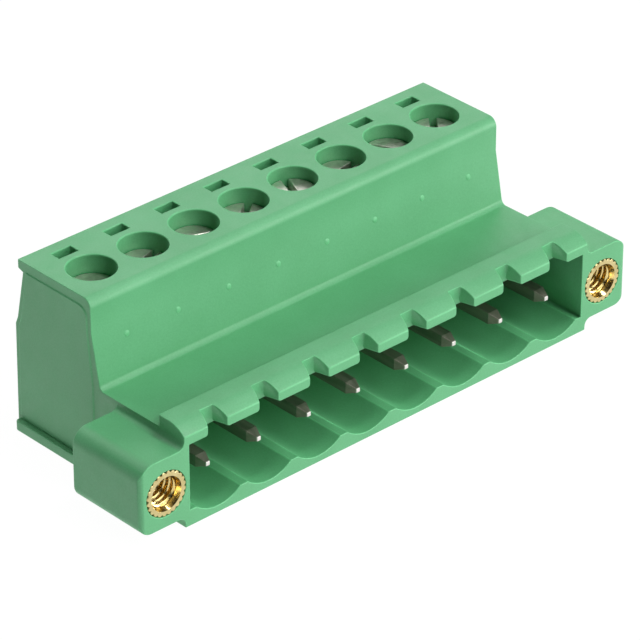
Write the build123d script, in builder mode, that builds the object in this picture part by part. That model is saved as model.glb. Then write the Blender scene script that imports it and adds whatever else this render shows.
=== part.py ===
from build123d import *
from math import atan, degrees, sqrt
import os

# Pluggable terminal block: a one-piece moulded housing whose front is a pin header shroud and
# whose back takes the wires. Each pole holds a pin contact, a rising clamping sleeve and the
# screw that lifts it, and a threaded brass insert sits in the flange at each end.
# X runs along the row of poles, -Y is the mating side, +Y the wire side, +Z the screw side.
# Depths are measured behind the mating face, heights above the underside. Millimetres.

# Row of poles
pole_count = 8
pitch = 5.08
end_margin = 3.28

# Shroud that takes the mating header
shroud_height = 7.6
cavity_depth = 8.6
cavity_ceiling = 7.05
cavity_side_wall = 0.5
scallop_floor = 0.6
scallop_rise = 0.8
scallop_radius = 3.3

# Lip along the shroud's upper front edge, with one notch a pole
lip_height = 8.6
lip_length = 2.88
lip_flat_start = 1.6
lip_nose_height = 7.85
lip_nose_bulge = 0.12
lip_corner_radius = 0.18
notch_mouth = 1.9
notch_back = 1.2
notch_depth = 1.3
notch_edge_radius = 0.25

# Body above and behind the shroud
well_depth = 3.3
front_face_height = 2.87
slope_foot = 9.5
slope_foot_radius = 0.5
body_front = 10.36
body_front_radius = 0.8
top_back = 18.8
top_plate = 0.76
undercut_depth = 0.55
undercut_drop = 0.19
shoulder_height = 9.87
shoulder_depth = 19.08
rear_top_height = 9.2
rear_top_depth = 19.36
rear_foot_depth = 19.5

# Foot ledge along the bottom of each end face
ledge_height = 0.85
ledge_side = 0.57
ledge_back_inset = 0.3
ledge_radius = 0.3

# Raised panel on each end face
panel_raise = 0.08
panel_rim_top = 0.75
panel_rim_front = 0.58
panel_rim_back = 0.4
panel_foot_depth = 10.45
panel_radius = 1.0

# Screw flanges beside the shroud
flange_width = 4.39
flange_depth = 7.58
flange_bottom = 0.93
flange_top = 6.9
flange_top_radius = 1.4
flange_bottom_radius = 1.1
flange_root_radius = 0.62
flange_front_radius = 0.42

# Threaded inserts, M3
insert_inset = 1.8
insert_height = 3.8
insert_radius = 1.9
insert_length = 6.0
insert_bore_radius = 1.25
insert_mouth_chamfer = 0.3
insert_tail_chamfer = 0.15
knurl_teeth = 24
knurl_depth = 0.16
knurl_groove_radius = 1.6
knurl_groove_length = 0.9
insert_clearance = 0.02
insert_pocket_extra = 0.3

# Clamping screws, M3, slotted
screw_depth = 14.08
screw_thread_radius = 1.49
screw_head_radius = 1.85
screw_head_height = 1.7
screw_tip_length = 0.5
screw_tip_radius = 1.1
driver_slot_width = 0.62
driver_slot_depth = 0.75
seat_gap = 0.05
tip_gap = 0.1
head_lifts = (0, 0.1, 0.2, 0.25, 0.5, 0.25, 0.35, 0.35)
driver_slot_angles = (-43, 18, -21, 38, 69, 10, -63, 51)

# Wells and bores for the screws
well_radius = 1.95
seat_thickness = 0.9
shank_clearance = 0.12

# Clamping sleeves, open at rest
sleeve_length = 4.3
sleeve_bottom = 1.8
sleeve_floor = 0.8
sleeve_roof = 1.3
sleeve_roof_gap = 0.8
sleeve_wall = 0.36
sleeve_corner_radius = 0.35
sleeve_thread_clearance = 0.03
closed_gap = 0.3
grip_groove_count = 3
grip_groove_pitch = 1.0
grip_groove_size = 0.25

# Chambers that guide the sleeves, and the wire entries behind them
chamber_clearance = 0.1
chamber_end_gap = 0.2
entry_taper = 4.0

# Pin contacts
pin_size = 1.0
pin_height = 3.68
pin_tip_depth = 1.17
pin_tip_size = 0.34
pin_taper_length = 0.9
riser_wall = 0.8
riser_thickness = 1.0
bar_thickness = 0.8
bar_bottom = 5.3
bar_side_gap = 0.15
bar_end_gap = 0.2
contact_clearance = 0.02

# Probe slots in the top
probe_width = 1.85
probe_length = 0.95
probe_depth = 17.2
probe_sink = 2.5

# Worked out from the sizes above
total_depth = rear_foot_depth
body_half = (pole_count - 1) * pitch / 2 + end_margin
bar_top = bar_bottom + bar_thickness
window_bottom = sleeve_bottom + sleeve_floor
window_top = bar_top + sleeve_roof_gap
window_width = 2 * (screw_thread_radius + sleeve_thread_clearance)
sleeve_width = window_width + 2 * sleeve_wall
sleeve_top = window_top + sleeve_roof
sleeve_rise = bar_bottom - window_bottom - closed_gap
chamber_width = sleeve_width + 2 * chamber_clearance
chamber_length = sleeve_length + 2 * chamber_clearance
chamber_back = screw_depth + chamber_length / 2
chamber_bottom = sleeve_bottom - chamber_end_gap
chamber_top = sleeve_top + sleeve_rise + chamber_end_gap
entry_top = sleeve_top + chamber_end_gap
seat_height = chamber_top + seat_thickness
body_height = seat_height + well_depth
crease_height = body_height - front_face_height
bar_width = window_width - 2 * bar_side_gap
bar_end = chamber_back - bar_end_gap
riser_start = cavity_depth + riser_wall
riser_end = riser_start + riser_thickness
pin_bottom = pin_height - pin_size / 2
pin_shoulder = pin_tip_depth + pin_taper_length
pin_taper = degrees(atan((pin_size - pin_tip_size) / 2 / pin_taper_length))
shank_length = seat_height + seat_gap - bar_top - tip_gap
flange_end = body_half + flange_width
insert_x = body_half + insert_inset


def poles():
    """One place a pole, in a row along X, in the sketch that it is called in."""
    return GridLocations(pitch, 0, pole_count, 1)


def behind(depth):
    """Y of a point that lies this far behind the mating face."""
    return depth - total_depth / 2


def facing(depth):
    """Plane parallel to the mating face, this far behind it, seen from the mating side."""
    return Plane.XZ.offset(-behind(depth))


def near(place, value, axis):
    """Vertices or edges of a list whose place along an axis is this value."""
    return place.filter_by_position(axis, value - 0.01, value + 0.01)


def is_slanted(edge):
    """Whether a straight level edge runs along neither X nor Y."""
    way = edge % 0.5
    return edge.geom_type == GeomType.LINE and min(abs(way.X), abs(way.Y)) > 0.1


# Outline of one scallop in the shroud's floor, and of one notch in the lip
with BuildSketch() as scallop:
    scallop_half = sqrt(scallop_radius**2 - (scallop_radius - scallop_rise) ** 2)
    scallop_ridge = scallop_floor + scallop_rise
    with BuildLine():
        Line((-scallop_half, scallop_ridge), (scallop_half, scallop_ridge))
        ThreePointArc(
            (-scallop_half, scallop_ridge), (0, scallop_floor), (scallop_half, scallop_ridge)
        )
    make_face()

with BuildSketch() as notch:
    with BuildLine():
        Polyline(
            (-notch_mouth / 2, 0),
            (-notch_back / 2, notch_depth),
            (notch_back / 2, notch_depth),
            (notch_mouth / 2, 0),
            close=True,
        )
    make_face()


# Housing: the side profile drawn out along the row, then flanges, panels and hollows
with BuildPart() as housing:
    with BuildSketch(Plane.YZ):
        with BuildLine():
            Polyline(
                (behind(lip_flat_start), lip_height),
                (behind(lip_length), lip_height),
                (behind(lip_length), shroud_height),
                (behind(slope_foot), shroud_height),
                (behind(body_front), crease_height),
                (behind(body_front), body_height),
                (behind(top_back), body_height),
                (behind(top_back), body_height - top_plate),
                (behind(top_back - undercut_depth), body_height - top_plate - undercut_drop),
                (behind(shoulder_depth), shoulder_height),
                (behind(rear_top_depth), rear_top_height),
                (behind(rear_foot_depth), 0),
                (behind(0), 0),
                (behind(0), lip_nose_height),
            )
            ThreePointArc(
                (behind(0), lip_nose_height),
                (
                    behind(lip_flat_start / 2 - lip_nose_bulge),
                    (lip_nose_height + lip_height) / 2 + lip_nose_bulge,
                ),
                (behind(lip_flat_start), lip_height),
            )
        make_face()
        front_top = near(vertices(), behind(body_front), Axis.X).sort_by(Axis.Y)[-1]
        fillet(front_top, radius=body_front_radius)
        slope_bottom = near(vertices(), behind(slope_foot), Axis.X)
        fillet(slope_bottom, radius=slope_foot_radius)
    extrude(amount=body_half, both=True)

    lip_corners = near(edges().filter_by(Axis.Z), behind(lip_length), Axis.Y)
    fillet(lip_corners, radius=lip_corner_radius)

    # Panel raised a little from each end face, left bare
    with BuildSketch(Plane.YZ):
        with BuildLine():
            Polyline(
                (behind(panel_foot_depth), ledge_height),
                (behind(panel_foot_depth), shroud_height),
                (behind(body_front + panel_rim_front), crease_height),
                (behind(body_front + panel_rim_front), body_height - panel_rim_top),
                (behind(top_back - undercut_depth - panel_rim_back), body_height - panel_rim_top),
                (behind(shoulder_depth - panel_rim_back), shoulder_height),
                (behind(rear_top_depth - panel_rim_back), rear_top_height),
                (behind(rear_foot_depth - panel_rim_back), ledge_height),
                close=True,
            )
        make_face()
        panel_corner = near(vertices(), body_height - panel_rim_top, Axis.Y).sort_by(Axis.X)[0]
        fillet(panel_corner, radius=panel_radius)
    extrude(amount=body_half + panel_raise, both=True)

    # Foot ledges, which stand out from the end faces
    with BuildSketch(Plane.XY):
        ledge_back = rear_foot_depth - ledge_back_inset
        with Locations((0, behind((flange_depth + ledge_back) / 2))):
            Rectangle(2 * (body_half + ledge_side), ledge_back - flange_depth)
        fillet(vertices().group_by(Axis.Y)[-1], radius=ledge_radius)
    extrude(amount=ledge_height)

    # Flange blocks, joined to the shroud's sides by small root fillets
    with BuildSketch(facing(0)):
        with Locations((0, shroud_height / 2)):
            Rectangle(2 * body_half, shroud_height)
        with Locations((0, (flange_bottom + flange_top) / 2)):
            Rectangle(2 * flange_end, flange_top - flange_bottom)
        tops = near(vertices(), flange_top, Axis.Y).sort_by(Axis.X)
        fillet([tops[0], tops[-1]], radius=flange_top_radius)
        bottoms = near(vertices(), flange_bottom, Axis.Y).sort_by(Axis.X)
        fillet([bottoms[0], bottoms[-1]], radius=flange_bottom_radius)
        sides = near(vertices(), body_half, Axis.X) + near(vertices(), -body_half, Axis.X)
        roots = near(sides, flange_bottom, Axis.Y) + near(sides, flange_top, Axis.Y)
        fillet(roots, radius=flange_root_radius)
    extrude(amount=-flange_depth)

    # Soft upright edges at the front of the flanges
    with BuildSketch(Plane.XY):
        with Locations((flange_end, behind(0)), (-flange_end, behind(0))):
            Rectangle(2 * flange_front_radius, 2 * flange_front_radius)
        rounding_x = flange_end - flange_front_radius
        with Locations((0, behind(flange_front_radius))):
            with GridLocations(2 * rounding_x, 0, 2, 1):
                Circle(flange_front_radius, mode=Mode.SUBTRACT)
    extrude(amount=shroud_height, mode=Mode.SUBTRACT)

    # Cavity of the shroud, with a scallop under each pin
    with BuildSketch(facing(0)):
        with Locations((0, (scallop_ridge + cavity_ceiling) / 2)):
            Rectangle(2 * (body_half - cavity_side_wall), cavity_ceiling - scallop_ridge)
        with poles():
            add(scallop.sketch)
    extrude(amount=-cavity_depth, mode=Mode.SUBTRACT)

    with BuildSketch(Plane.XY.offset(cavity_ceiling)):
        with Locations((0, behind(0))):
            with poles():
                add(notch.sketch)
    extrude(amount=lip_height, mode=Mode.SUBTRACT)
    tooth_edges = near(edges(), cavity_ceiling, Axis.Z).filter_by(is_slanted)
    fillet(tooth_edges, radius=notch_edge_radius)

    # Wells for the screw heads, and the bores below them
    with BuildSketch(Plane.XY.offset(seat_height)):
        with Locations((0, behind(screw_depth))):
            with poles():
                Circle(well_radius)
    extrude(amount=body_height, mode=Mode.SUBTRACT)

    with BuildSketch(Plane.XY.offset(chamber_top)):
        with Locations((0, behind(screw_depth))):
            with poles():
                Circle(screw_thread_radius + shank_clearance)
    extrude(amount=body_height, mode=Mode.SUBTRACT)

    # Chambers for the clamping sleeves, open to the back through the wire entries
    with BuildSketch(Plane.XY.offset(chamber_bottom)):
        with Locations((0, behind(screw_depth))):
            with poles():
                Rectangle(chamber_width, chamber_length)
    extrude(amount=chamber_top - chamber_bottom, mode=Mode.SUBTRACT)

    with BuildSketch(facing(chamber_back)):
        with Locations((0, (chamber_bottom + entry_top) / 2)):
            with poles():
                Rectangle(chamber_width, entry_top - chamber_bottom)
    extrude(amount=-(total_depth - chamber_back), taper=-entry_taper, mode=Mode.SUBTRACT)

    # Probe slots in the top, behind the wells
    with BuildSketch(Plane.XY.offset(body_height)):
        with Locations((0, behind(probe_depth))):
            with poles():
                Rectangle(probe_width, probe_length)
    extrude(amount=-probe_sink, mode=Mode.SUBTRACT)

    # Square holes that grip the pins, and the pockets for the wide part of the contacts
    with BuildSketch(facing(cavity_depth)):
        with Locations((0, pin_height)):
            with poles():
                Rectangle(pin_size + 2 * contact_clearance, pin_size + 2 * contact_clearance)
    extrude(amount=-(screw_depth - cavity_depth), mode=Mode.SUBTRACT)

    with BuildSketch(facing(riser_start - contact_clearance)):
        with Locations((0, (pin_bottom + bar_top) / 2)):
            with poles():
                plate_height = bar_top - pin_bottom
                Rectangle(bar_width + 2 * contact_clearance, plate_height + 2 * contact_clearance)
    extrude(amount=-(screw_depth - riser_start), mode=Mode.SUBTRACT)

    # Round pockets for the threaded inserts
    with BuildSketch(facing(0)):
        with Locations((0, insert_height)):
            with GridLocations(2 * insert_x, 0, 2, 1):
                Circle(insert_radius + insert_clearance)
    extrude(amount=-(insert_length + insert_pocket_extra), mode=Mode.SUBTRACT)

housing.part.label = "housing"
os.makedirs("parts", exist_ok=True)
export_step(housing.part, "parts/housing.step")


def make_contact(x):
    """Stamped contact: tapered square pin, riser, and the bar that the wire is clamped against."""
    with BuildPart() as contact:
        with BuildSketch(Plane.YZ.offset(x)):
            with BuildLine():
                Polyline(
                    (behind(riser_start), pin_bottom),
                    (behind(riser_end), pin_bottom),
                    (behind(riser_end), bar_bottom),
                    (behind(bar_end), bar_bottom),
                    (behind(bar_end), bar_top),
                    (behind(riser_start), bar_top),
                    close=True,
                )
            make_face()
        extrude(amount=bar_width / 2, both=True)

        with BuildSketch(facing(riser_start)):
            with Locations((x, pin_height)):
                Rectangle(pin_size, pin_size)
        extrude(amount=riser_start - pin_shoulder)

        with BuildSketch(facing(pin_shoulder)):
            with Locations((x, pin_height)):
                Rectangle(pin_size, pin_size)
        extrude(amount=pin_taper_length, taper=pin_taper)
    return contact.part


def make_sleeve(x):
    """Clamping sleeve: a rectangular ring with a threaded roof and a grooved floor."""
    with BuildPart() as sleeve:
        with BuildSketch(facing(screw_depth)):
            with Locations((x, (sleeve_bottom + sleeve_top) / 2)):
                RectangleRounded(sleeve_width, sleeve_top - sleeve_bottom, sleeve_corner_radius)
            with Locations((x, (window_bottom + window_top) / 2)):
                Rectangle(window_width, window_top - window_bottom, mode=Mode.SUBTRACT)
        extrude(amount=sleeve_length / 2, both=True)

        with BuildSketch(Plane.XY.offset(sleeve_top)):
            with Locations((x, behind(screw_depth))):
                Circle(window_width / 2)
        extrude(amount=bar_top - sleeve_top, mode=Mode.SUBTRACT)

        # Grooves across the floor that grip the wire
        with BuildSketch(Plane.YZ.offset(x)):
            with Locations((behind(screw_depth), window_bottom)):
                with GridLocations(grip_groove_pitch, 0, grip_groove_count, 1):
                    Rectangle(grip_groove_size, grip_groove_size, rotation=45)
        extrude(amount=bar_width / 2, both=True, mode=Mode.SUBTRACT)
    return sleeve.part


def make_screw(x, head_lift, slot_angle):
    """Slotted cheese-head screw, whose head stands this far above its lowest place."""
    head_bottom = seat_height + seat_gap + head_lift
    head_top = head_bottom + screw_head_height
    tip = head_bottom - shank_length
    with BuildPart() as screw:
        with BuildSketch(facing(screw_depth)):
            with BuildLine():
                Polyline(
                    (x, tip),
                    (x + screw_tip_radius, tip),
                    (x + screw_thread_radius, tip + screw_tip_length),
                    (x + screw_thread_radius, head_bottom),
                    (x + screw_head_radius, head_bottom),
                    (x + screw_head_radius, head_top),
                    (x, head_top),
                    close=True,
                )
            make_face()
        revolve(axis=Axis((x, behind(screw_depth), 0), (0, 0, 1)))
        with BuildSketch(Plane.XY.offset(head_top)):
            with Locations((x, behind(screw_depth))):
                Rectangle(3 * screw_head_radius, driver_slot_width, rotation=slot_angle)
        extrude(amount=-driver_slot_depth, mode=Mode.SUBTRACT)
    return screw.part


def make_insert(x):
    """Threaded insert: knurled in two bands with a groove between, bored right through."""
    knurl_length = (insert_length - knurl_groove_length) / 2
    with BuildPart() as insert:
        with BuildSketch(facing(0)):
            with Locations((x, insert_height)):
                RegularPolygon(insert_radius, knurl_teeth)
        extrude(amount=-insert_length)
        with BuildSketch(facing(knurl_length)):
            with Locations((x, insert_height)):
                Circle(insert_radius)
                Circle(knurl_groove_radius, mode=Mode.SUBTRACT)
        extrude(amount=-knurl_groove_length, mode=Mode.SUBTRACT)

        # Knurl: flat-topped teeth with a V cut between each two, through both bands
        with BuildSketch(facing(0)):
            with Locations((x, insert_height)):
                with PolarLocations(insert_radius, knurl_teeth):
                    Rectangle(sqrt(2) * knurl_depth, sqrt(2) * knurl_depth, rotation=45)
        extrude(amount=-insert_length, mode=Mode.SUBTRACT)

        with BuildSketch(facing(0)):
            with Locations((x, insert_height)):
                Circle(insert_bore_radius)
        extrude(amount=-insert_length, mode=Mode.SUBTRACT)
        mouth, tail = edges().filter_by(GeomType.CIRCLE).sort_by(SortBy.RADIUS)[:2].sort_by(Axis.Y)
        chamfer(tail, length=insert_tail_chamfer)
        mouth = edges().filter_by(GeomType.CIRCLE).sort_by(Axis.Y)[0]
        chamfer(mouth, length=insert_mouth_chamfer)
    return insert.part


def write(piece, name):
    """Label a finished piece and write its file."""
    piece.label = name
    export_step(piece, f"parts/{name}.step")


for index in range(pole_count):
    x = (index - (pole_count - 1) / 2) * pitch
    number = index + 1
    head_lift = head_lifts[index % len(head_lifts)]
    slot_angle = driver_slot_angles[index % len(driver_slot_angles)]
    write(make_contact(x), f"contact_{number}")
    write(make_sleeve(x), f"clamping_sleeve_{number}")
    write(make_screw(x, head_lift, slot_angle), f"clamp_screw_{number}")

write(make_insert(-insert_x), "insert_left")
write(make_insert(insert_x), "insert_right")
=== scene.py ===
import math

import bmesh
import bpy
from mathutils import Matrix, Vector


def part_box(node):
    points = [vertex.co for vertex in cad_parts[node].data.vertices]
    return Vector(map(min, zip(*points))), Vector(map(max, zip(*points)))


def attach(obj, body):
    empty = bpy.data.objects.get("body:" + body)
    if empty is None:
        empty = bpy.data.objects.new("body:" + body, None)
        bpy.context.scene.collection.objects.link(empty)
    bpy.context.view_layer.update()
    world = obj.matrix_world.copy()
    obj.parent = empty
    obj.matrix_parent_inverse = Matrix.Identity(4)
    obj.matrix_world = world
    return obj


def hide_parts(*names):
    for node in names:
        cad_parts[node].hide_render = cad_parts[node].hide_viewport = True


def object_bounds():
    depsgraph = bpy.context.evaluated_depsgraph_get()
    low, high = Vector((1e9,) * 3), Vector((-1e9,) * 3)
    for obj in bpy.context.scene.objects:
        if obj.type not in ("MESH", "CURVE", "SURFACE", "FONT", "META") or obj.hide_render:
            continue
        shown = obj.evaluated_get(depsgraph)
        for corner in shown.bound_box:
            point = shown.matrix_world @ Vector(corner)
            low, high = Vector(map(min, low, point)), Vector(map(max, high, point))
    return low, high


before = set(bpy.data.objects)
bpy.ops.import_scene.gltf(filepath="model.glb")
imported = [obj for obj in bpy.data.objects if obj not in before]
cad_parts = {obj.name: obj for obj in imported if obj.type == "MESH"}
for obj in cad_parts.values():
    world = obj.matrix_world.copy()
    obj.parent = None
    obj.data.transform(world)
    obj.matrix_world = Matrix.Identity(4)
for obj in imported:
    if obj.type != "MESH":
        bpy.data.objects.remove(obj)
cad_low, cad_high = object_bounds()

# Everything below is in metres; a size given in millimetres is multiplied by MM
MM = 0.001

# Camera, placed from the middle of the mating face's foot: a long lens, in front, left and above
camera_offset = Vector((-194.10, -202.20, 175.97)) * MM
camera_place = camera_offset + Vector((0, cad_low.y, 0))
camera_turn = math.radians(42.688)
camera_drop = math.radians(30.728)
camera_lens = 242.58
camera_sensor = 36.0
camera_nearest = 0.01
camera_farthest = 20.0

# Studio: floor, distance of the lights from the origin, and the weak light from all around
floor_half = 3.0
light_distance = 0.9
world_strength = 0.02

# Threads, M3: radii of the screws, cut down to clear their sleeves, radii of the inserts' bore,
# and the flat at root and crest of each as a share of the pitch
thread_pitch = 0.5 * MM
thread_major = 1.46 * MM
thread_minor = 1.22 * MM
thread_flat = 0.12
bore_minor = 1.24 * MM
bore_major = 1.5 * MM
bore_flat = 0.18
thread_sides = 72
thread_rows = 14

# Threaded inserts: knurled bands with a groove between them, and a countersink at each end
insert_radius = 1.9 * MM
insert_teeth = 24
insert_tooth_depth = 0.16 * MM
insert_groove_radius = 1.6 * MM
insert_groove_length = 0.9 * MM
insert_rim = 0.05 * MM
insert_mouth_radius = 1.45 * MM
insert_mouth_slope = 0.45
insert_lead = 0.4 * MM
insert_lead_fade = 0.3 * MM
points_a_tooth = 6

# Pin contacts: depth of the tip behind the mating face, and the stretch behind the tip where
# the painted highlight on its end gives way to the darker plate
pin_tip_depth = 1.17 * MM
pin_highlight_full = 0.03 * MM
pin_highlight_end = 0.10 * MM

# Clamping screws, one a pole. Their slots stand at angles in degrees, and the thread runs out in a
# neck below the head.
screw_head_radius = 1.85 * MM
screw_head_height = 1.7 * MM
screw_slot_width = 0.62 * MM
screw_slot_depth = 0.75 * MM
screw_slot_angles = (-43, 18, -21, 38, 69, 10, -63, 51)
screw_tip_length = 0.5 * MM
screw_tip_radius = 1.1 * MM
screw_neck_length = 0.45 * MM
half_head_sides = 48
pole_count = len(screw_slot_angles)

# Slanted face below the housing's top: depth behind the mating face and height, foot and head
slope_foot = Vector((9.5, 7.6)) * MM
slope_head = Vector((10.36, 12.13)) * MM

# Small pips that the mould leaves on that face, one a pole
pip_height = 11.0 * MM
pip_shift = -0.04 * MM
pip_radius = 0.26 * MM
pip_rise = 0.06 * MM
pip_sunk_share = 0.3
pip_rings = 5
pip_sides = 24

# Small radii on the edges of each kind of piece
housing_edge = 0.08 * MM
well_edge = 0.11 * MM
metal_edge = 0.03 * MM
screw_edge = 0.06 * MM
edge_segments = 2
screw_edge_segments = 3

# Edges of the top that are shorter than this, as in the wells' rims, take the wells' radius
well_stretch = 1.0 * MM

# Raised panel on each end face: how far out its face lies, the width of its sloping border, the
# depth that its front edge lies within, and how far that edge moves forward
panel_face = 21.14 * MM
panel_border = 0.13 * MM
panel_front_depth = 12.1 * MM
panel_front_shift = 0.22 * MM

# The ledge at the foot of the end faces lies below this height
ledge_limit = 0.86 * MM

# An edge is a corner where its faces turn by more than this: on the solids, on pieces made by
# turning, and on a screw's head
corner_turn = math.radians(24)
turned_corner_turn = math.radians(32)
head_corner_turn = math.radians(40)

# Faces that turn by less than this are joined into one flat face
flat_turn = math.radians(0.5)

# How strongly the larger faces decide the shading of the corners between them
large_face_weight = 60

# A face looks up, or to the side, where that part of its normal is more than this
looks_up = 0.9
looks_aside = 0.5

# Points nearer than this are one point: on the solids, and on turned pieces
weld_gap = 0.001 * MM
turned_gap = 0.0005 * MM

# Points lie at a level, or on a panel, where they are off by less than this
level_gap = 0.0002 * MM
panel_gap = 0.002 * MM

# Colours as the darker and the paler tone of each material
green_tones = ((0.086, 0.362, 0.150), (0.108, 0.418, 0.184))
turned_brass_tones = ((0.58, 0.48, 0.22), (0.70, 0.59, 0.30))
cut_brass_tones = ((0.72, 0.55, 0.20), (0.85, 0.68, 0.30))
# Tin of the pins: two dark brown tones, and the pale colour of a painted highlight on their tips
dark_tin_tones = ((0.24, 0.21, 0.18), (0.34, 0.30, 0.26))
tip_highlight_tin = (0.80, 0.76, 0.73)
zinc_tones = ((0.62, 0.60, 0.54), (0.86, 0.84, 0.77))
nickel_tones = ((0.56, 0.53, 0.47), (0.68, 0.65, 0.58))
floor_tones = ((0.035, 0.035, 0.035), (0.045, 0.045, 0.045))
white = (1, 1, 1, 1)

# Painted highlight: the rounded edges of the moulding, the panels' borders and the pips are painted
# paler than its faces by this factor
edge_highlight_lift = 1.2

# Most of a noise lies between these
noise_low = 0.3
noise_high = 0.7

# Materials


class Shader:
    """A new material with one Principled shader, and short ways to add and join nodes."""

    def __init__(self, name):
        self.material = bpy.data.materials.new(name)
        self.material.use_nodes = True
        self.nodes = self.material.node_tree.nodes
        self.links = self.material.node_tree.links
        self.surface = self.nodes["Principled BSDF"]
        self.place = self.nodes.new("ShaderNodeTexCoord").outputs["Object"]

    def set(self, **values):
        """Sets values on the shader's own sockets."""
        for key, value in values.items():
            self.surface.inputs[key.replace("_", " ")].default_value = value

    def node(self, kind, **inputs):
        """A new node, with its inputs joined to sockets or set to values."""
        made = self.nodes.new(kind)
        for key, value in inputs.items():
            socket = made.inputs[key.replace("_", " ")]
            if isinstance(value, bpy.types.NodeSocket):
                self.links.new(value, socket)
            else:
                socket.default_value = value
        return made

    def stretched(self, scale):
        """The place on the piece, scaled by a different amount along each axis."""
        mapping = self.node("ShaderNodeMapping", Vector=self.place)
        mapping.inputs["Scale"].default_value = scale
        return mapping.outputs["Vector"]

    def noise(self, scale, detail=3.0, roughness=0.5, place=None):
        """Noise with this many waves a metre, from 0 to 1."""
        made = self.node("ShaderNodeTexNoise", Vector=place or self.place, Scale=scale)
        made.inputs["Detail"].default_value = detail
        made.inputs["Roughness"].default_value = roughness
        return made.outputs["Fac"]

    def ramp(self, value, tones, low=noise_low, high=noise_high):
        """Takes a value that runs from low to high through two tones."""
        made = self.node("ShaderNodeValToRGB", Fac=value)
        for end, position, tone in zip(made.color_ramp.elements, (low, high), tones):
            end.position = position
            end.color = (*tone, 1)
        return made.outputs["Color"]

    def middle(self, one, other):
        """Average of two values."""
        made = self.node("ShaderNodeMath")
        made.operation = "MULTIPLY_ADD"
        self.links.new(one, made.inputs[0])
        made.inputs[1].default_value = 0.5
        half = self.node("ShaderNodeMath")
        half.operation = "MULTIPLY"
        self.links.new(other, half.inputs[0])
        half.inputs[1].default_value = 0.5
        self.links.new(half.outputs[0], made.inputs[2])
        return made.outputs[0]

    def spread(self, value, low, high):
        """Maps a noise onto the range from low to high."""
        made = self.node("ShaderNodeMapRange", Value=value)
        made.inputs["From Min"].default_value = noise_low
        made.inputs["From Max"].default_value = noise_high
        made.inputs["To Min"].default_value = low
        made.inputs["To Max"].default_value = high
        return made.outputs["Result"]

    def join(self, **outputs):
        """Joins sockets to the shader's own inputs."""
        for key, output in outputs.items():
            self.links.new(output, self.surface.inputs[key.replace("_", " ")])

    def bump(self, height, distance, normal=None):
        """Relief of this depth, on top of another relief where one is given."""
        made = self.node("ShaderNodeBump", Height=height, Distance=distance)
        if normal:
            self.links.new(normal, made.inputs["Normal"])
        return made.outputs["Normal"]


def plastic(name, highlight_lift=1.0):
    """Green moulded polyamide: slightly cloudy and speckled, with the grain of a sparked mould."""
    s = Shader(name)
    tone = s.middle(s.noise(220, detail=4), s.noise(8000, detail=2))
    # A lift above 1 paints the moulding paler, as a painted highlight
    tones = [[highlight_lift * part for part in colour] for colour in green_tones]
    s.join(Base_Color=s.ramp(tone, tones, low=0.36, high=0.64))
    s.join(Roughness=s.spread(s.noise(900), 0.44, 0.54))
    grain = s.bump(s.noise(9000, detail=2), 0.004 * MM)
    s.join(Normal=s.bump(s.noise(400, detail=1), 0.010 * MM, normal=grain))
    s.set(IOR=1.53, Specular_IOR_Level=0.6)
    return s.material


def brass(name, tones, low_roughness, high_roughness):
    """Turned brass: a little unevenness in its colour and gloss."""
    s = Shader(name)
    s.join(Base_Color=s.ramp(s.noise(1500, detail=4), tones))
    s.join(Roughness=s.spread(s.noise(5200), low_roughness, high_roughness))
    s.join(Normal=s.bump(s.noise(7000, detail=2), 0.006 * MM))
    s.set(Metallic=1.0)
    return s.material


def tin():
    """Tin plate on the pins: dull and brown, with a painted highlight in a pale colour on the tip."""
    s = Shader("tin_plate")
    drawn = s.noise(3000, detail=3, place=s.stretched((1, 0.08, 1)))
    dark_plate = s.ramp(drawn, dark_tin_tones)
    # Painted highlight: the pin is pale at its tip and darker behind it, by its depth
    depth = s.node("ShaderNodeSeparateXYZ", Vector=s.place).outputs["Y"]
    behind_highlight = s.node("ShaderNodeMapRange", Value=depth)
    behind_highlight.inputs["From Min"].default_value = cad_low.y + pin_tip_depth + pin_highlight_full
    behind_highlight.inputs["From Max"].default_value = cad_low.y + pin_tip_depth + pin_highlight_end
    blend = s.node("ShaderNodeMix")
    blend.data_type = "RGBA"
    s.links.new(behind_highlight.outputs["Result"], blend.inputs["Factor"])
    colours = [socket for socket in blend.inputs if socket.type == "RGBA"]
    colours[0].default_value = (*tip_highlight_tin, 1)
    s.links.new(dark_plate, colours[1])
    mixed = [socket for socket in blend.outputs if socket.type == "RGBA"]
    s.join(Base_Color=mixed[0])
    s.join(Roughness=s.spread(drawn, 0.42, 0.58))
    s.join(Normal=s.bump(drawn, 0.005 * MM))
    s.set(Metallic=1.0)
    return s.material


def zinc():
    """Plated steel of the screws: warm grey, cloudy and finely pitted."""
    s = Shader("plated_steel")
    s.join(Base_Color=s.ramp(s.noise(1800, detail=5, roughness=0.6), zinc_tones))
    s.join(Roughness=s.spread(s.noise(3500), 0.34, 0.52))
    s.join(Normal=s.bump(s.noise(6000, detail=3), 0.008 * MM))
    s.set(Metallic=1.0)
    return s.material


def nickel():
    """Nickel plate on the clamping sleeves."""
    s = Shader("nickel_plate")
    s.join(Base_Color=s.ramp(s.noise(1500, detail=4), nickel_tones))
    s.join(Roughness=s.spread(s.noise(2600), 0.26, 0.4))
    s.join(Normal=s.bump(s.noise(5000, detail=2), 0.005 * MM))
    s.set(Metallic=1.0)
    return s.material


def floor_white():
    """Pale floor, lit a little from within so that it stays near white."""
    s = Shader("pale_floor")
    s.join(Base_Color=s.ramp(s.noise(14), floor_tones))
    s.set(Roughness=0.9, Specular_IOR_Level=0.0, Emission_Color=white, Emission_Strength=0.98)
    return s.material


# Mesh helpers


def placed(name, bm, matrix, material, body, node):
    """A piece from a bmesh, moved by a matrix, which stands for a CAD node and rides on its body."""
    mesh = bpy.data.meshes.new(name)
    bm.to_mesh(mesh)
    bm.free()
    mesh.transform(matrix)
    piece = bpy.data.objects.new(name, mesh)
    bpy.context.scene.collection.objects.link(piece)
    piece.data.materials.append(material)
    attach(piece, body)
    if node:
        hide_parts(node)
    return piece


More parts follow.
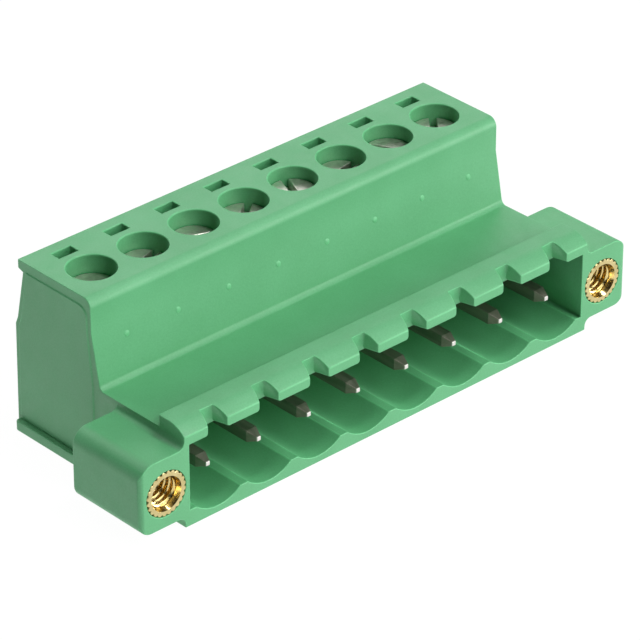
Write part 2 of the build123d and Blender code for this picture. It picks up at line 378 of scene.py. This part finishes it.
def turned(name, bm, matrix, material, body, node):
    """A turned piece from a bmesh, smooth apart from its corners."""
    bmesh.ops.remove_doubles(bm, verts=bm.verts, dist=turned_gap)
    bmesh.ops.recalc_face_normals(bm, faces=bm.faces)
    piece = placed(name, bm, matrix, material, body, node)
    piece.data.shade_smooth()
    piece.data.set_sharp_from_angle(angle=turned_corner_turn)
    return piece


def even_normals(piece):
    """Shades flat faces flat right up to the rounded corners between them."""
    normals = piece.modifiers.new("even_normals", "WEIGHTED_NORMAL")
    normals.keep_sharp = True
    normals.weight = large_face_weight


def dress_cad(node, material, edge):
    """Keeps a CAD node's shape, rounds its edges and gives it a material."""
    node.data.materials.clear()
    node.data.materials.append(material)
    weld = node.modifiers.new("weld", "WELD")
    weld.merge_threshold = weld_gap
    flat = node.modifiers.new("flat_faces", "DECIMATE")
    flat.decimate_type = "DISSOLVE"
    flat.angle_limit = flat_turn
    bevel = node.modifiers.new("rounded_edges", "BEVEL")
    bevel.limit_method = "ANGLE"
    bevel.angle_limit = corner_turn
    bevel.width = edge
    bevel.segments = edge_segments
    bevel.use_clamp_overlap = False
    bevel.miter_outer = "MITER_ARC"
    even_normals(node)


def bearing(vert):
    """Angle of a point round the Z axis."""
    return math.atan2(vert.co.y, vert.co.x)


def arc_points(radius, first, last, count, height):
    """Points on a level arc round the Z axis, both ends included."""
    points = []
    for i in range(count + 1):
        angle = first + (last - first) * i / count
        points.append((radius * math.cos(angle), radius * math.sin(angle), height))
    return points


def ring_points(radius_at, count, height):
    """Points round the Z axis, whose radius follows their number."""
    points = []
    for i in range(count):
        angle = 2 * math.pi * i / count
        radius = radius_at(i)
        points.append((radius * math.cos(angle), radius * math.sin(angle), height))
    return points


def add_loops(bm, loops):
    """Joins closed loops of equally many points by strips of faces, and returns the loops' points."""
    rows = [[bm.verts.new(p) for p in loop] for loop in loops]
    for low, high in zip(rows, rows[1:]):
        for i in range(len(low)):
            j = (i + 1) % len(low)
            bm.faces.new((low[i], low[j], high[j], high[i]))
    return rows


def fill_between(bm, inner, outer):
    """Closes the flat ring between two loops round the Z axis with triangles, by their angles."""
    inner = sorted(inner, key=bearing)
    outer = sorted(outer, key=bearing)

    def next_angle(loop, i):
        return bearing(loop[(i + 1) % len(loop)]) + (2 * math.pi if i + 1 == len(loop) else 0)

    i = 0
    j = 0
    while i < len(inner) or j < len(outer):
        here = inner[i % len(inner)]
        there = outer[j % len(outer)]
        inner_turn = next_angle(inner, i) if i < len(inner) else math.inf
        outer_turn = next_angle(outer, j) if j < len(outer) else math.inf
        if inner_turn <= outer_turn:
            i += 1
            bm.faces.new((here, inner[i % len(inner)], there))
        else:
            j += 1
            bm.faces.new((here, outer[j % len(outer)], there))


def fill_disc(bm, loop, height):
    """Closes a loop round the Z axis with triangles to its middle."""
    middle = bm.verts.new((0, 0, height))
    loop = sorted(loop, key=bearing)
    for here, there in zip(loop, loop[1:] + loop[:1]):
        bm.faces.new((middle, here, there))


def open_verts(bm, height):
    """Points at this height on edges that bound only one face."""
    found = set()
    for edge in bm.edges:
        level = all(abs(v.co.z - height) < level_gap for v in edge.verts)
        if level and len(edge.link_faces) < 2:
            found.update(edge.verts)
    return list(found)


def thread_radius(share, minor, major, flat):
    """Radius of a thread at a share of its pitch, with a flat at its root and at its crest."""
    rise = abs(2 * share - 1)
    return minor + (major - minor) * min(max((rise - flat) / (1 - 2 * flat), 0), 1)


def add_thread(bm, low, high, radius_at):
    """Right-hand helical surface from height low to high, cut flat at both ends."""
    first = math.floor(low / thread_pitch) - 1
    last = math.ceil(high / thread_pitch) + 1
    rows = (last - first) * thread_rows
    columns = []
    for i in range(thread_sides):
        turn = i / thread_sides
        column = []
        for k in range(rows + 1):
            height = thread_pitch * (first + k / thread_rows + turn)
            radius = radius_at(k / thread_rows % 1, height)
            angle = 2 * math.pi * turn
            point = (radius * math.cos(angle), radius * math.sin(angle), height)
            column.append(bm.verts.new(point))
        columns.append(column)
    for i in range(thread_sides):
        here = columns[i]
        wrap = i + 1 == thread_sides
        there = columns[0][thread_rows:] if wrap else columns[i + 1]
        for k in range(len(there) - 1):
            bm.faces.new((here[k], there[k], there[k + 1], here[k + 1]))
    for height, side in ((low, -1), (high, 1)):
        everything = bm.verts[:] + bm.edges[:] + bm.faces[:]
        bmesh.ops.bisect_plane(
            bm, geom=everything, plane_co=(0, 0, height), plane_no=(0, 0, side), clear_outer=True
        )


# Pieces


def soften_panels(bm):
    """Gives the end faces' panels a sloping border, not a square step, in the second material, whose
    paler colour is a painted highlight.
    """
    moves = []
    for vert in bm.verts:
        if abs(abs(vert.co.x) - panel_face) > panel_gap:
            continue
        out = Vector()
        for face in vert.link_faces:
            normal = face.normal
            on_ledge = normal.z > looks_up and vert.co.z < ledge_limit
            if abs(normal.x) < looks_aside and not on_ledge:
                out += normal
        if not out.length:
            continue
        out = Vector((0, out.y, out.z)).normalized()
        shift = Vector()
        if vert.co.y - cad_low.y < panel_front_depth:
            shift = Vector((0, -panel_front_shift, 0))
        moves.append((vert, shift - out * panel_border))
        for edge in vert.link_edges:
            foot = edge.other_vert(vert)
            if (foot.co - vert.co).yz.length < weld_gap:
                moves.append((foot, shift))
    raised = {vert for vert, move in moves}
    for vert, move in moves:
        vert.co += move
    # The border faces take the paler material: a painted highlight along the panel's edge
    for face in bm.faces:
        outer = max(abs(vert.co.x) for vert in face.verts) > panel_face - panel_gap
        if outer and abs(face.normal.x) < looks_aside and raised.issuperset(face.verts):
            face.material_index = 1


def make_housing(node, material, highlight_material):
    """Housing: the CAD shape with its outer corners rounded a little and its inner ones sharp."""
    bm = bmesh.new()
    bm.from_mesh(node.data)
    bmesh.ops.remove_doubles(bm, verts=bm.verts, dist=weld_gap)
    bm.normal_update()
    soften_panels(bm)
    bm.normal_update()
    bmesh.ops.dissolve_limit(
        bm, angle_limit=flat_turn, verts=bm.verts, edges=bm.edges, delimit={"NORMAL"}
    )
    weights = bm.edges.layers.float.new("bevel_weight_edge")
    for edge in bm.edges:
        turn = edge.calc_face_angle_signed(0)
        on_border = any(face.material_index for face in edge.link_faces)
        edge.smooth = turn > -corner_turn and not on_border
        if turn > corner_turn and not on_border:
            on_top = all(abs(v.co.z - cad_high.z) < weld_gap for v in edge.verts)
            on_well = on_top and edge.calc_length() < well_stretch
            edge[weights] = 1.0 if on_well else housing_edge / well_edge
    for face in bm.faces:
        face.smooth = True
    housing = placed("housing_shell", bm, Matrix(), material, "root", "housing")
    housing.data.materials.append(highlight_material)
    bevel = housing.modifiers.new("rounded_corners", "BEVEL")
    bevel.limit_method = "WEIGHT"
    bevel.width = well_edge
    bevel.segments = edge_segments
    bevel.use_clamp_overlap = False
    bevel.loop_slide = False
    # The rounded corners take the paler second material: a painted highlight along the edges
    bevel.material = 1
    bevel.miter_outer = "MITER_ARC"
    even_normals(housing)


def make_pips(material):
    """Low round pips on the slanted face, one a pole."""
    share = (pip_height - slope_foot.y) / (slope_head.y - slope_foot.y)
    depth = slope_foot.x + share * (slope_head.x - slope_foot.x)
    run = slope_head - slope_foot
    out = Vector((0, -run.y, run.x)).normalized()
    tilt = Vector((0, 0, 1)).rotation_difference(out).to_matrix().to_4x4()
    bm = bmesh.new()
    for number in range(1, pole_count + 1):
        low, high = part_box(f"clamp_screw_{number}")
        place = Vector(((low.x + high.x) / 2 + pip_shift, cad_low.y + depth, pip_height))
        loops = []
        for k in range(pip_rings):
            radius = pip_radius * math.cos(math.pi / 2 * k / pip_rings)
            height = pip_rise * (math.sin(math.pi / 2 * k / pip_rings) - pip_sunk_share)
            loops.append(arc_points(radius, 0, 2 * math.pi, pip_sides, height)[:-1])
        started = len(bm.verts)
        rows = add_loops(bm, loops)
        fill_disc(bm, rows[0], loops[0][0][2])
        fill_disc(bm, rows[-1], pip_rise * (1 - pip_sunk_share))
        bm.verts.ensure_lookup_table()
        bmesh.ops.transform(bm, matrix=Matrix.Translation(place) @ tilt, verts=bm.verts[started:])
    turned("mould_pips", bm, Matrix(), material, "root", None)


def make_insert(name, material, thread_material):
    """Brass insert: knurled in two bands outside, threaded right through."""
    low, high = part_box(name)
    centre = Vector(((low.x + high.x) / 2, low.y, (low.z + high.z) / 2))
    length = high.y - low.y
    band = (length - insert_groove_length) / 2
    count = insert_teeth * points_a_tooth
    point_gap = 2 * math.pi * insert_radius / count

    def knurl(i):
        from_cut = min(i % points_a_tooth, -i % points_a_tooth) * point_gap
        return insert_radius - max(insert_tooth_depth - from_cut, 0)

    def rim(i):
        return knurl(i) - insert_rim

    def groove(i):
        return insert_groove_radius

    def bore(share, height):
        from_end = min(height, length - height)
        fade = min(max((from_end - insert_lead) / insert_lead_fade, 0), 1)
        crest = bore_minor + fade * (bore_major - bore_minor)
        mouth = insert_mouth_radius - insert_mouth_slope * from_end
        return max(thread_radius(share, bore_minor, crest, bore_flat), mouth)

    bm = bmesh.new()
    add_thread(bm, 0, length, bore)
    for face in bm.faces:
        face.material_index = 1
    mouths = [open_verts(bm, height) for height in (0, length)]
    outside = (
        (rim, 0), (knurl, insert_rim), (knurl, band), (groove, band),
        (groove, length - band), (knurl, length - band), (knurl, length - insert_rim), (rim, length),
    )
    rows = add_loops(bm, [ring_points(radius, count, height) for radius, height in outside])
    fill_between(bm, mouths[0], rows[0])
    fill_between(bm, mouths[1], rows[-1])
    lay_back = Matrix.Translation(centre) @ Matrix.Rotation(-math.pi / 2, 4, "X")
    insert = turned(name + "_brass", bm, lay_back, material, "root", name)
    insert.data.materials.append(thread_material)


def make_screw(number, material):
    """Slotted cheese-head screw with an M3 thread."""
    name = f"clamp_screw_{number}"
    low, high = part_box(name)
    centre = Vector(((low.x + high.x) / 2, (low.y + high.y) / 2, low.z))
    length = high.z - low.z
    shank = length - screw_head_height
    slot_floor = length - screw_slot_depth
    neck = shank - screw_neck_length

    def shank_radius(share, height):
        tip = screw_tip_radius + height * (thread_major - screw_tip_radius) / screw_tip_length
        relief = max(thread_minor, thread_major - max(height - neck, 0))
        return min(thread_radius(share, thread_minor, thread_major, thread_flat), tip, relief)

    bm = bmesh.new()
    add_thread(bm, 0, shank, shank_radius)
    fill_disc(bm, open_verts(bm, 0), 0)
    shank_top = open_verts(bm, shank)

    # The slot parts the head into two segments of a circle, which stand on its lower part
    start = math.asin(screw_slot_width / 2 / screw_head_radius)
    arcs = ((start, math.pi - start), (math.pi + start, 2 * math.pi - start))

    def head_ring(height):
        points = []
        for first, last in arcs:
            points += arc_points(screw_head_radius, first, last, half_head_sides, height)
        return points

    under, floor = add_loops(bm, [head_ring(shank), head_ring(slot_floor)])
    fill_between(bm, shank_top, under)
    half = half_head_sides + 1
    bm.faces.new((floor[0], floor[half - 1], floor[half], floor[-1]))
    for foot in (floor[:half], floor[half:]):
        crown = [bm.verts.new((v.co.x, v.co.y, length)) for v in foot]
        for i in range(half):
            j = (i + 1) % half
            bm.faces.new((foot[i], foot[j], crown[j], crown[i]))
        bm.faces.new(crown)
    bmesh.ops.recalc_face_normals(bm, faces=bm.faces)
    corners = []
    for edge in bm.edges:
        on_head = min(v.co.z for v in edge.verts) > shank - weld_gap
        if on_head and edge.calc_face_angle_signed(0) > head_corner_turn:
            corners.append(edge)
    bmesh.ops.bevel(
        bm,
        geom=corners,
        offset=screw_edge,
        segments=screw_edge_segments,
        profile=0.5,
        affect="EDGES",
        clamp_overlap=True,
    )
    turn = Matrix.Rotation(math.radians(screw_slot_angles[number - 1]), 4, "Z")
    body = f"screw_{number}"
    matrix = Matrix.Translation(centre) @ turn
    turned(f"slotted_screw_{number}", bm, matrix, material, body, name)


# Studio


def make_floor():
    """Plain square floor."""
    corners = [(x * floor_half, y * floor_half, 0) for x, y in ((-1, -1), (1, -1), (1, 1), (-1, 1))]
    mesh = bpy.data.meshes.new("floor")
    mesh.from_pydata(corners, [], [(0, 1, 2, 3)])
    floor = bpy.data.objects.new("floor", mesh)
    bpy.context.scene.collection.objects.link(floor)
    floor.data.materials.append(floor_white())


def soft_light(name, heading, height, size, power):
    """Square light at two angles in degrees: round from +X towards +Y, and up from the floor."""
    data = bpy.data.lights.new(name, "AREA")
    data.shape = "SQUARE"
    data.size = size
    data.energy = power
    flat = math.cos(math.radians(height))
    way = Vector((
        math.cos(math.radians(heading)) * flat,
        math.sin(math.radians(heading)) * flat,
        math.sin(math.radians(height)),
    ))
    lamp = bpy.data.objects.new(name, data)
    lamp.location = way * light_distance
    lamp.rotation_euler = way.to_track_quat("Z", "Y").to_euler()
    bpy.context.scene.collection.objects.link(lamp)


def make_camera():
    """Camera at the photograph's angle."""
    data = bpy.data.cameras.new("camera")
    data.lens = camera_lens
    data.sensor_width = camera_sensor
    data.clip_start = camera_nearest
    data.clip_end = camera_farthest
    camera = bpy.data.objects.new("camera", data)
    camera.location = camera_place
    camera.rotation_euler = (math.pi / 2 - camera_drop, 0, -camera_turn)
    bpy.context.scene.collection.objects.link(camera)
    bpy.context.scene.camera = camera


def make_world():
    """Weak white light from all around."""
    world = bpy.data.worlds.new("studio")
    world.use_nodes = True
    background = world.node_tree.nodes["Background"]
    background.inputs["Color"].default_value = white
    background.inputs["Strength"].default_value = world_strength
    bpy.context.scene.world = world


# Dress the frame
green = plastic("moulded_green")
green_painted_highlight = plastic("moulded_green_painted_highlight", edge_highlight_lift)
tin_plate = tin()
nickel_plate = nickel()
brass_turned = brass("turned_brass", turned_brass_tones, 0.38, 0.5)
brass_thread = brass("cut_thread", cut_brass_tones, 0.14, 0.24)
plated_steel = zinc()

make_housing(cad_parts["housing"], green, green_painted_highlight)
# The pips take the paler material: a painted highlight on them
make_pips(green_painted_highlight)
for number in range(1, pole_count + 1):
    dress_cad(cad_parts[f"contact_{number}"], tin_plate, metal_edge)
    dress_cad(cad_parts[f"clamping_sleeve_{number}"], nickel_plate, metal_edge)
    make_screw(number, plated_steel)
for side in ("left", "right"):
    make_insert(f"insert_{side}", brass_turned, brass_thread)

# Floor, lights, camera and surroundings
make_floor()
soft_light("key_light", 330, 70, 0.18, 2.5)
soft_light("right_light", 315, 8, 0.5, 5.6)
soft_light("front_light", 270, 32, 0.5, 1.5)
soft_light("high_front_light", 285, 50, 0.5, 3.5)
soft_light("far_light", 45, 32, 0.5, 1.6)
soft_light("back_light", 90, 32, 0.5, 3.0)
make_camera()
make_world()
bpy.context.scene.view_settings.view_transform = "Standard"
